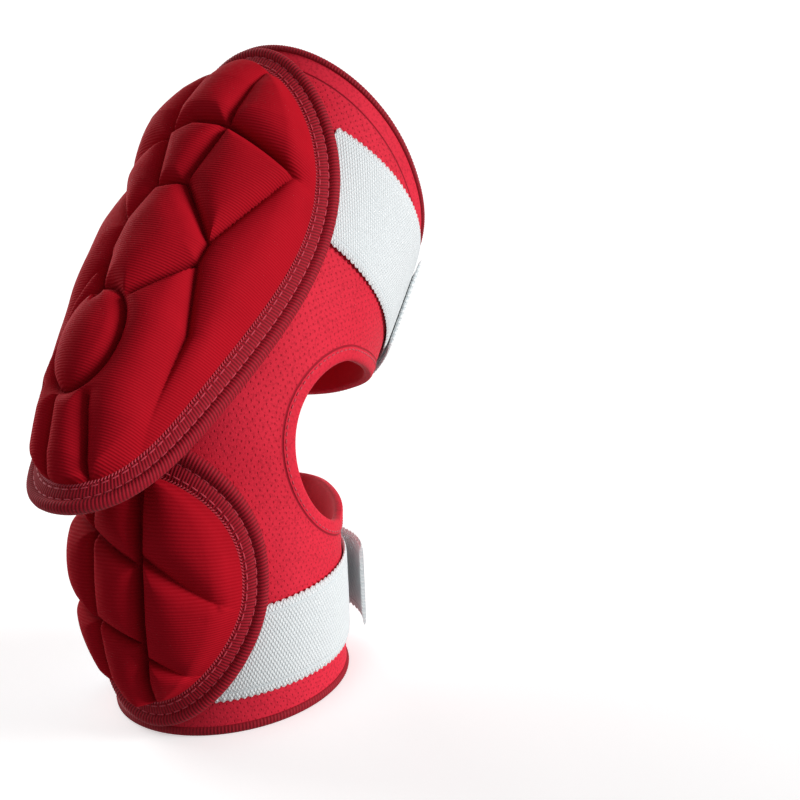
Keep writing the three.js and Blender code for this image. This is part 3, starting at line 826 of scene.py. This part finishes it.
# Rim piping with fine ribs round it
def build_rim(name, node, place, profile, length):
    steps = int(length / RIB_PITCH) * STEPS_PER_RIB
    number = np.arange(steps)[:, None]
    theta = 2 * math.pi * number / steps
    rib = RIB_DEPTH * np.cos(2 * math.pi * number / STEPS_PER_RIB)
    out, up, ribbed = np.array(profile).T
    points = place(theta, out + rib * ribbed, up)
    along = np.broadcast_to(number / STEPS_PER_RIB * RIB_PITCH, points.shape[:2])
    around = np.broadcast_to(np.arange(len(profile)), points.shape[:2])
    add_piece(
        name, points, tube_faces(steps, len(profile), True), np.stack([along, around], -1),
        [LOOKS["piping"]], period=steps / STEPS_PER_RIB * RIB_PITCH, nodes=[node],
    )


def lower_rim_place(theta, out, up):
    return sleeve_point(lower_rim(theta, out) + up / math.cos(LEAN), theta, out)


def upper_rim_place(theta, out, up):
    return sleeve_point(upper_rim(theta) + up, theta, out)


# Pads

def half_width(pad, t):
    return sum(c * t ** n for n, c in enumerate(pad["half_width"]))


def outline(pad, angle, inset):
    t = -np.cos(angle)
    half = pad["length"] / 2
    return np.sin(angle) * (half_width(pad, t) - inset), half + t * (half - inset)


# Rise of the seat above the sleeve, which arches towards the free end of the tongue
def pad_seat(pad, across, down):
    t = np.clip(2 * down / pad["length"] - 1, -1, 1)
    width = np.maximum(half_width(pad, t) * np.sqrt(1 - t * t), 1)
    start, full, end, height = pad["lift"]
    arch = height * smoothstep(down, start, full) * (1 - smoothstep(down, full, end))
    return SEAT + arch * np.maximum(0, 1 - (across / width) ** 2)


def groove_cut(distance, deep, reach):
    return deep * np.clip(1 - distance / reach, 0, 1) ** CREASE_POWER


# Cut of one straight crease, with its own reach on each side
def line_cut(across, down, a0, d0, a1, d1, deep_from, deep_to, reach_in, reach_out):
    along = np.array([a1 - a0, d1 - d0])
    share = ((across - a0) * along[0] + (down - d0) * along[1]) / (along @ along)
    share = np.clip(share, 0, 1)
    distance = np.hypot(across - a0 - share * along[0], down - d0 - share * along[1])
    outward = (across - a0) * along[1] - (down - d0) * along[0]
    reach = np.where(outward > 0, reach_out, reach_in)
    return groove_cut(distance, between((deep_from, deep_to), share), reach)


# Height of the quilted face: a dome across the pad, less the deepest crease there
def pad_face(pad, across, down, edge_share):
    middle = np.interp(down, pad["crown_down"], pad["crown_middle"])
    side = np.interp(down, pad["crown_down"], pad["crown_side"])
    shoulder = (side - PAD_EDGE) * smoothstep((1 - edge_share) * SHOULDER_RATE, *SHOULDER_SPAN)
    full = PAD_EDGE + shoulder + (middle - side) * (1 - edge_share ** DOME_POWER)
    cut = np.zeros_like(full)
    for way, grooves in ((1, pad["grooves"]), (-1, pad["left_grooves"])):
        for groove in grooves:
            cut = np.maximum(cut, line_cut(way * across, down, *groove))
    if pad["oval"]:
        middle_across, middle_down, wide, long, deep, reach_in, reach_out = pad["oval"]
        ring = np.hypot((across - middle_across) / wide, (down - middle_down) / long)
        reach = np.where(ring > 1, reach_out, reach_in)
        cut = np.maximum(cut, groove_cut(np.abs(ring - 1) * wide, deep, reach))
    return np.maximum(full - cut, GROOVE_FLOOR), cut


# Mean over a run of neighbours along one axis of a grid
def soften(values, size, axis):
    margin = [(0, 0), (0, 0)]
    margin[axis] = (size // 2, size - 1 - size // 2)
    wide = np.pad(values, margin, mode="edge")
    return np.lib.stride_tricks.sliding_window_view(wide, size, axis).mean(-1)


# Cloth simulation of a pad's cover: a sheet held at its creases and edge is blown up from below
def blow_up(points, outward, hold):
    rows, columns = hold.shape
    faces = grid_faces(rows, columns, loop_columns=False)
    a, b, c, _ = faces[rows // 2 * (columns - 1) + columns // 2]
    flat = points.reshape(-1, 3)
    if np.cross(flat[b] - flat[a], flat[c] - flat[a]) @ outward.reshape(-1, 3)[a] < 0:
        faces = [face[::-1] for face in faces]
    mesh = bpy.data.meshes.new("cover")
    mesh.from_pydata((flat / MM).tolist(), [], faces)
    cover = bpy.data.objects.new("cover", mesh)
    bpy.context.scene.collection.objects.link(cover)
    group = cover.vertex_groups.new(name="hold")
    for n, weight in enumerate(hold.ravel()):
        group.add([n], float(weight), "REPLACE")
    settings = cover.modifiers.new("cover", "CLOTH").settings
    settings.vertex_group_mass = "hold"
    settings.quality = COVER_QUALITY
    settings.mass = COVER_MASS
    settings.tension_stiffness = settings.compression_stiffness = COVER_STIFFNESS
    settings.shear_stiffness = COVER_STIFFNESS
    settings.use_pressure = True
    settings.uniform_pressure_force = COVER_PRESSURE
    settings.effector_weights.gravity = 0
    scene = bpy.context.scene
    for step in range(1, COVER_FRAMES + 1):
        scene.frame_set(step)
    blown = cover.evaluated_get(bpy.context.evaluated_depsgraph_get())
    found = np.zeros(len(flat) * 3)
    blown.data.vertices.foreach_get("co", found)
    bpy.data.objects.remove(cover)
    bpy.data.meshes.remove(mesh)
    scene.frame_set(1)
    moved = (found.reshape(points.shape) * MM - points) * outward
    return np.clip(moved.sum(-1), 0, COVER_CAP)


# Face of a pad that starts a little slack and is blown up to its full form
def blown_face(pad, point_at, across, down, face, cut, edge_share):
    free = (1 - np.clip(cut / HELD_CUT, 0, 1)) * (1 - smoothstep(edge_share, *HELD_EDGE))
    slack = face - COVER_SLACK * free
    rows = np.append(np.arange(0, len(across) - 1, COVER_ROWS), len(across) - 1)
    columns = np.arange(0, across.shape[1], COVER_COLUMNS)
    picked = np.ix_(rows, columns)
    hold = 1 - free[picked]
    hold[[0, -1]] = 1
    a, d = across[picked], down[picked]
    height = pad_seat(pad, a, d) + slack[picked]
    points = point_at(a, d, height)
    moved = blow_up(points, point_at(a, d, height + 1) - points, hold)
    fine = np.array([np.interp(np.arange(across.shape[1]), columns, row) for row in moved])
    fine = np.array([np.interp(np.arange(len(across)), rows, column) for column in fine.T]).T
    for size, axis in ((COVER_ROWS, 0), (COVER_COLUMNS + 1, 1), (COVER_ROWS, 0), (COVER_COLUMNS + 1, 1)):
        fine = soften(fine, size, axis)
    return slack + fine * free ** SWELL_POWER


def build_pad(name, node, pad, point_at):
    angle = np.linspace(BLUNT_END, math.pi - BLUNT_END, pad["rows"])[:, None]
    edge, down = outline(pad, angle, FLANGE)
    top = np.linspace(-1, 1, pad["columns"] + 1)
    under = np.linspace(1, -1, UNDER_COLUMNS + 1)
    share = np.concatenate([top, under])
    across = edge * share
    down = np.broadcast_to(down, across.shape)
    height = pad_seat(pad, across, down)
    count = len(top)
    beside = np.broadcast_to(np.abs(top), (pad["rows"], count))
    face, cut = pad_face(pad, across[:, :count], down[:, :count], beside)
    face = blown_face(pad, point_at, across[:, :count], down[:, :count], face, cut, beside)
    height[:, :count] += face
    points = point_at(across, down, height)
    piece = add_piece(
        name, points, tube_faces(*across.shape, False), np.stack([across, down], -1),
        [LOOKS["pad_knit"]], nodes=[node],
    )
    # Depth of each crease, which sets the painted shade in it
    crease = np.zeros(across.shape)
    crease[:, :count] = cut
    add_attribute(piece, "crease", crease.ravel())


# Angles round the outline, an even distance apart
def even_angles(pad, point_at, pitch, inset, per=1):
    angle = np.linspace(0, 2 * math.pi, OUTLINE_STEPS + 1)
    across, down = outline(pad, angle, inset)
    length = walked(point_at(across, down, pad_seat(pad, across, down)))
    steps = int(round(length[-1] / pitch)) * per
    return np.interp(np.arange(steps) / steps * length[-1], length, angle)


# Share of a strap's or tab's thickness that runs under the binding at a place
def covered(tie, across, down):
    right = across > 0
    half = np.where(right, tie["band"], tie["tab"][1]) / 2
    off = np.abs(tie["pad"]["top"] - down - np.where(right, *tie["s_under"]))
    return 1 - smoothstep(off, half + ROOM_FADE[0], half + ROOM_FADE[1])


def build_binding(name, node, pad, point_at, tie):
    angle = even_angles(pad, point_at, RIB_PITCH, RIB_LINE, STEPS_PER_RIB)[:, None]
    number = np.arange(len(angle))[:, None]
    inset, height = FLANGE_PROFILE.T
    rib = np.cos(2 * math.pi * number / STEPS_PER_RIB)
    height = height + RIB_DEPTH * rib * (height > RIBBED_OVER)
    across, down = outline(pad, angle, inset)
    room = BAND_ROOM * covered(tie, across, down) * (height < UNDERSIDE)
    points = point_at(across, down, pad_seat(pad, across, down) + np.maximum(height, room))
    along = np.broadcast_to(number / STEPS_PER_RIB * RIB_PITCH, across.shape)
    uv = np.stack([along, np.broadcast_to(inset, across.shape)], -1)
    add_piece(
        name, points, tube_faces(*across.shape, True), uv, [LOOKS["tape"]],
        period=len(angle) / STEPS_PER_RIB * RIB_PITCH, nodes=[node],
    )


# Fastenings

def pad_edge_theta(pad, s):
    t = np.clip(2 * (pad["top"] - s) / pad["length"] - 1, -1, 1)
    return half_width(pad, t) * np.sqrt(1 - t * t) / pad["roundness"]


# A tie is one fastening with its place on the sleeve, where x runs round the arm from its loop
def fastening(spec, pad):
    theta = math.radians(spec["loop"])
    s = np.interp(spec["loop"], spec["route_theta"], spec["route_s"])
    centre = sleeve_point(s, theta, LOOP_HEIGHT)
    turn = 0.01
    onward = sleeve_point(s, theta + turn, LOOP_HEIGHT) - centre
    along = unit(sleeve_point(s + 1, theta, LOOP_HEIGHT) - centre)
    out = unit(np.cross(onward, along))
    tie = {**spec, "pad": pad, "s": s, "theta": theta, "centre": centre, "along": along, "out": out}
    tie["across"] = np.cross(along, out)
    tie["round"] = np.linalg.norm(onward) / turn
    tie["s_under"] = (middle_at(tie, tuck_x(tie, tie["band"])), middle_at(tie, tab_end(tie)))
    return tie


def to_theta(tie, x):
    return tie["theta"] + x / tie["round"]


# Middle line of the band at x, its route eased round the corners
def middle_at(tie, x):
    ease = np.linspace(-ROUTE_EASE, ROUTE_EASE, EASE_PLACES)
    degrees = np.degrees(to_theta(tie, np.asarray(x, float)[..., None] + ease))
    return np.interp(degrees, tie["route_theta"], tie["route_s"]).mean(-1)


def plane(tie, x):
    foot = sleeve_point(tie["s"], to_theta(tie, x), 0)
    rise = sleeve_point(tie["s"], to_theta(tie, x), 1) - foot
    return ((tie["centre"] - foot) @ tie["out"]) / (rise @ tie["out"])


def tuck_theta(tie, width):
    edges = [pad_edge_theta(tie["pad"], tie["s"] + side * width / 2) for side in (-1, 1)]
    return min(edges) - TUCK / tie["round"]


def tuck_x(tie, width):
    return (tuck_theta(tie, width) - tie["theta"]) * tie["round"]


def tab_end(tie):
    return (2 * math.pi - tuck_theta(tie, tie["tab"][1]) - tie["theta"]) * tie["round"]


# Where the tab first comes to the pad's outline
def tab_meets_pad(tie):
    s = tie["s"] + np.linspace(-0.5, 0.5, TAB_PLACES) * tie["tab"][1]
    return (2 * math.pi - pad_edge_theta(tie["pad"], s).max() - tie["theta"]) * tie["round"]


def steps_over(a, b):
    return np.linspace(a, b, int(abs(b - a) / BAND_STEP) + 2)


def turn_points(tie, bar, way):
    angle = np.linspace(0, math.pi, TURN_STEPS + 1)[1:-1]
    x = bar + way * WRAP * np.sin(angle)
    return x, plane(tie, x) - WRAP * np.cos(angle)


# Route of the strap in x and height: round the back, round its bar and back on itself
def strap_route(tie):
    bar = -BAR_ROUND
    edge = -LOOP_WIDTH / 2 - GAP
    tail = (math.radians(tie["tail"]) - tie["theta"]) * tie["round"]
    inner = steps_over(tuck_x(tie, tie["band"]), bar)
    share = smoothstep(inner, bar - CLIMB, bar)
    inner_height = ON_SLEEVE + (plane(tie, bar) - WRAP - ON_SLEEVE) * share
    turn, turn_height = turn_points(tie, bar, 1)
    outer = steps_over(bar, tail)
    low = ON_BAND + tie["tail_lift"] * (1 - smoothstep(outer, tail, tail + TAIL_RISE))
    outer_height = low + (plane(tie, outer) + WRAP - low) * smoothstep(outer, edge - DESCENT, edge)
    x = np.concatenate([inner, turn, outer])
    return x, np.concatenate([inner_height, turn_height, outer_height])


# Route of the tab: from beneath its bar, round it and down under the pad's other edge
def tab_route(tie):
    bar = BAR_ROUND
    tail = steps_over(bar + TAB_TAIL, bar)
    turn, turn_height = turn_points(tie, bar, -1)
    outer = steps_over(bar, tab_end(tie))
    foot = max(tab_meets_pad(tie) - TAB_CLEAR, LOOP_WIDTH / 2 + TAB_SLOPE)
    start = (LOOP_WIDTH / 2 - OVER_BAR * foot) / (1 - OVER_BAR)
    near = 1 - smoothstep(outer, start, foot)
    outer_height = ON_SLEEVE + (plane(tie, outer) + WRAP - ON_SLEEVE) * near
    x = np.concatenate([tail, turn, outer])
    return x, np.concatenate([np.full(len(tail), plane(tie, bar) - WRAP), turn_height, outer_height])


# Flat band along a route, with scalloped edges and an optional relief on both faces
def build_band(name, node, tie, route, widths, columns, look, relief=None):
    x, height = route
    way = unit(np.stack([np.gradient(x), np.gradient(height)], -1))
    length = walked(np.stack(route, -1))
    width = between(widths, np.clip(x / x[-1], 0, 1))
    picot = PICOT * np.abs(np.sin(math.pi * length / PICOT_PITCH))
    side = np.linspace(-1, 1, columns)
    rim = np.sqrt(1 - side ** BAND_SQUARENESS)
    side = np.concatenate([side, side[::-1]])
    face = np.concatenate([rim, -rim])
    off = side * (width / 2 - PICOT + picot)[:, None]
    out = np.broadcast_to(face * BAND / 2, off.shape)
    if relief is not None:
        out = out + np.sign(face) * relief(length[:, None], off) * np.abs(face)
    s = middle_at(tie, x)[:, None] + off
    theta = to_theta(tie, x[:, None] - way[:, 1:] * out)
    points = sleeve_point(s, theta, height[:, None] + way[:, :1] * out)
    uv = np.stack([np.broadcast_to(length[:, None], off.shape), off], -1)
    piece = add_piece(
        name, points, tube_faces(*off.shape, False), uv, [LOOKS[look]], nodes=[node],
        sharp=ROUNDED_SHARP,
    )
    add_attribute(piece, "from_side", (width[:, None] / 2 - np.abs(off)).ravel())


# Relief of the webbing, as rounded columns of beads
def beads(length, off):
    column = np.abs(np.sin(math.pi * length / BEAD_COLUMN)) ** BEAD_FULLNESS
    row = 1 - BEAD_DIP + BEAD_DIP * np.cos(2 * math.pi * off / BEAD_PITCH)
    return BEAD * (column * row - BEAD_SINK)


def rounded_rectangle(x, y, r):
    corner = np.linspace(0, math.pi / 2, CORNER_STEPS + 1)
    points = []
    for turn, (cx, cy) in enumerate([(1, 1), (-1, 1), (-1, -1), (1, -1)]):
        angle = corner + turn * math.pi / 2
        points.append(np.stack([cx * (x - r) + r * np.cos(angle), cy * (y - r) + r * np.sin(angle)], -1))
    return np.concatenate(points)


# Sine or cosine pushed out towards a square
def squared(values):
    return np.sign(values) * np.abs(values) ** LOOP_SQUARENESS


# Plastic loop: a rounded section carried round a rounded rectangle, fuller at its two ends
def build_loop(name, node, tie):
    long = tie["tab"][0] / 2 + LOOP_PLAY + LOOP_END
    outer = rounded_rectangle(LOOP_WIDTH / 2, long, LOOP_CORNER)
    inner = rounded_rectangle(LOOP_SLOT / 2, long - LOOP_END, SLOT_CORNER)
    angle = np.linspace(0, 2 * math.pi, LOOP_SIDES, endpoint=False)
    middle = (outer + inner)[:, None] / 2
    flat = middle + (outer - inner)[:, None] / 2 * squared(np.cos(angle))[:, None]
    swell = [long - share * LOOP_END for share in LOOP_SWELL]
    full = 1 + LOOP_FULLNESS * smoothstep(np.abs(middle[..., 1]), *swell)
    rise = full * squared(np.sin(angle)) * LOOP_THICK / 2
    ways = np.stack([tie["across"], tie["along"], tie["out"]])
    points = tie["centre"] + np.concatenate([flat, rise[..., None]], -1) @ ways
    uv = np.stack(np.broadcast_arrays(np.arange(len(outer))[:, None], rise), -1)
    add_piece(
        name, points, tube_faces(len(outer), len(angle), True), uv, [LOOKS["loop_plastic"]],
        nodes=[node], sharp=ROUNDED_SHARP,
    )


# Thread: small capsules along a line of points, laid on the surface given by the outward ways
def stitch_capsules(points, outward, pitch=STITCH_PITCH, reach=STITCH_LENGTH, slant=0.0):
    length = walked(points)
    count = int(length[-1] / pitch)
    at = (np.arange(count) + 0.5) * length[-1] / count
    up = unit(sample(at, length, outward))
    along = sample(at + STITCH_AHEAD, length, points) - sample(at - STITCH_AHEAD, length, points)
    along = unit(along - (along * up).sum(1)[:, None] * up)
    along = along * math.cos(slant) + np.cross(up, along) * math.sin(slant)
    ways = np.stack([along, np.cross(up, along), up], 1)
    angle = np.linspace(0, 2 * math.pi, STITCH_SIDES, endpoint=False)
    place, thick = STITCH_SHAPE.T[..., None]
    ring = STITCH_RADIUS * thick
    form = np.stack(np.broadcast_arrays(place * reach / 2, ring * np.cos(angle), ring * np.sin(angle)), -1)
    return sample(at, length, points)[:, None] + form.reshape(-1, 3) @ ways


def build_stitches(name, lines):
    capsules = np.concatenate([stitch_capsules(*line) for line in lines])
    count, size, _ = capsules.shape
    single = tube_faces(len(STITCH_SHAPE), STITCH_SIDES, False)
    faces = [[v + n * size for v in face] for n in range(count) for face in single]
    points = capsules.reshape(-1, 3)
    add_piece(name, points, faces, points[:, :2], [LOOKS["thread"]])


# Line round the elbow opening, where a cut with a margin would run
def hem_stitch_line(margin):
    faces, s, theta = cut_sleeve(margin)
    on_line = np.abs(opening_depth(sleeve_point(s, theta, 0)) + margin) < ON_LINE
    onward = {a: b for a, b in outer_edges(faces) if on_line[a] and on_line[b]}
    line = [min(onward)]
    while len(line) <= len(onward):
        line.append(onward[line[-1]])
    s, theta = s[line], theta[line]
    height = sleeve_fold(s, theta) + HEM_RISE
    low = sleeve_point(s, theta, height)
    return low, sleeve_point(s, theta, height + 1) - low


def pad_stitch_line(pad, point_at, inset, height):
    angle = np.append(even_angles(pad, point_at, STITCH_LINE_STEP, inset), 2 * math.pi)
    across, down = outline(pad, angle, inset)
    seat = pad_seat(pad, across, down)
    low = point_at(across, down, seat + height)
    return low, point_at(across, down, seat + height + 1) - low


# Build

upper = fastening(UPPER_FASTENING, UPPER_PAD)
lower = fastening(LOWER_FASTENING, LOWER_PAD)
build_sleeve()
build_stitches("hem_stitches", [(*hem_stitch_line(HEM_STITCHES), HEM_PITCH, HEM_STITCH)])
build_rim("lower_rim_piping", "bottom_binding", lower_rim_place, LOWER_RIM, LOWER_RIM_LENGTH)
build_rim("upper_rim_piping", "top_binding", upper_rim_place, UPPER_RIM, UPPER_RIM_LENGTH)
for side, pad, point_at, tie in (
    ("upper", UPPER_PAD, upper_pad_point, upper),
    ("lower", LOWER_PAD, lower_pad_point, lower),
):
    build_pad(side + "_pad_quilt", side + "_pad", pad, point_at)
    build_binding(side + "_pad_tape", side + "_pad_binding", pad, point_at, tie)
    lines = [pad_stitch_line(pad, point_at, *line) for line in TAPE_STITCHES]
    overlock = pad_stitch_line(pad, point_at, *OVERLOCK_LINE)
    lines.append((*overlock, OVERLOCK_PITCH, OVERLOCK_LENGTH, OVERLOCK_SLANT))
    build_stitches(side + "_pad_stitches", lines)
    build_band(
        side + "_strap_elastic", side + "_strap", tie, strap_route(tie), (tie["band"], tie["band"]),
        STRAP_COLUMNS, "elastic",
    )
    build_band(
        side + "_tab_webbing", side + "_tab", tie, tab_route(tie), tie["tab"],
        TAB_COLUMNS, "webbing", beads,
    )
    build_loop(side + "_loop_moulded", side + "_loop", tie)


# Floor, light and camera

def build_floor():
    look = Look(
        "floor", Roughness=0.9, Specular_IOR_Level=0.0,
        Emission_Color=(1, 1, 1, 1), Emission_Strength=FLOOR_GLOW,
    )
    look.colour(look.mix(look.noise(size=300), *FLOOR_TONES))
    angle = np.linspace(0, 2 * math.pi, FLOOR_SIDES, endpoint=False)
    out, up = np.array(FLOOR_SWEEP).T[:, :, None]
    rings = np.stack(np.broadcast_arrays(out * np.cos(angle), out * np.sin(angle), up), -1)
    faces = grid_faces(len(FLOOR_SWEEP), FLOOR_SIDES) + [list(range(FLOOR_SIDES))]
    mesh = bpy.data.meshes.new("floor")
    mesh.from_pydata(rings.reshape(-1, 3).tolist(), [], faces)
    mesh.polygons.foreach_set("use_smooth", [True] * len(mesh.polygons))
    mesh.materials.append(look.material)
    floor = bpy.data.objects.new("floor", mesh)
    bpy.context.scene.collection.objects.link(floor)
    floor.visible_diffuse = False
    floor.visible_shadow = False


# Soft light from a wide patch of sky in the given direction
def build_light(name, direction, spread, strength):
    light = bpy.data.lights.new(name, "SUN")
    light.angle = math.radians(spread)
    light.energy = strength
    lamp = bpy.data.objects.new(name, light)
    lamp.location = direction
    lamp.rotation_euler = (-Vector(direction)).to_track_quat("-Z", "Y").to_euler()
    bpy.context.scene.collection.objects.link(lamp)


def build_sky():
    world = bpy.data.worlds.new("studio")
    world.use_nodes = True
    background = world.node_tree.nodes["Background"]
    background.inputs["Color"].default_value = (1, 1, 1, 1)
    background.inputs["Strength"].default_value = SKY_STRENGTH
    bpy.context.scene.world = world


def build_camera():
    data = bpy.data.cameras.new("camera")
    data.sensor_width = SENSOR
    data.lens = FOCAL_PIXELS * SENSOR / IMAGE
    data.clip_start = CLIP_START
    camera = bpy.data.objects.new("camera", data)
    bpy.context.scene.collection.objects.link(camera)
    back = (Vector(CAMERA_AT) - Vector(CAMERA_TARGET)).normalized()
    right = Vector((0, 0, 1)).cross(back).normalized()
    up = back.cross(right)
    rolled = right * math.cos(CAMERA_ROLL) + up * math.sin(CAMERA_ROLL)
    facing = Matrix((rolled, back.cross(rolled), back)).transposed()
    half = IMAGE / 2
    seen = Vector(((TARGET_PIXEL[0] - half) / FOCAL_PIXELS, (half - TARGET_PIXEL[1]) / FOCAL_PIXELS, -1))
    aim = Vector((0, 0, -1)).rotation_difference(seen.normalized()).to_matrix()
    camera.matrix_world = Matrix.Translation(CAMERA_AT) @ (facing @ aim.transposed()).to_4x4()
    bpy.context.scene.camera = camera


build_floor()
for name, light in LIGHTS.items():
    build_light(name, *light)
build_sky()
bpy.context.scene.view_settings.view_transform = "Standard"
build_camera()
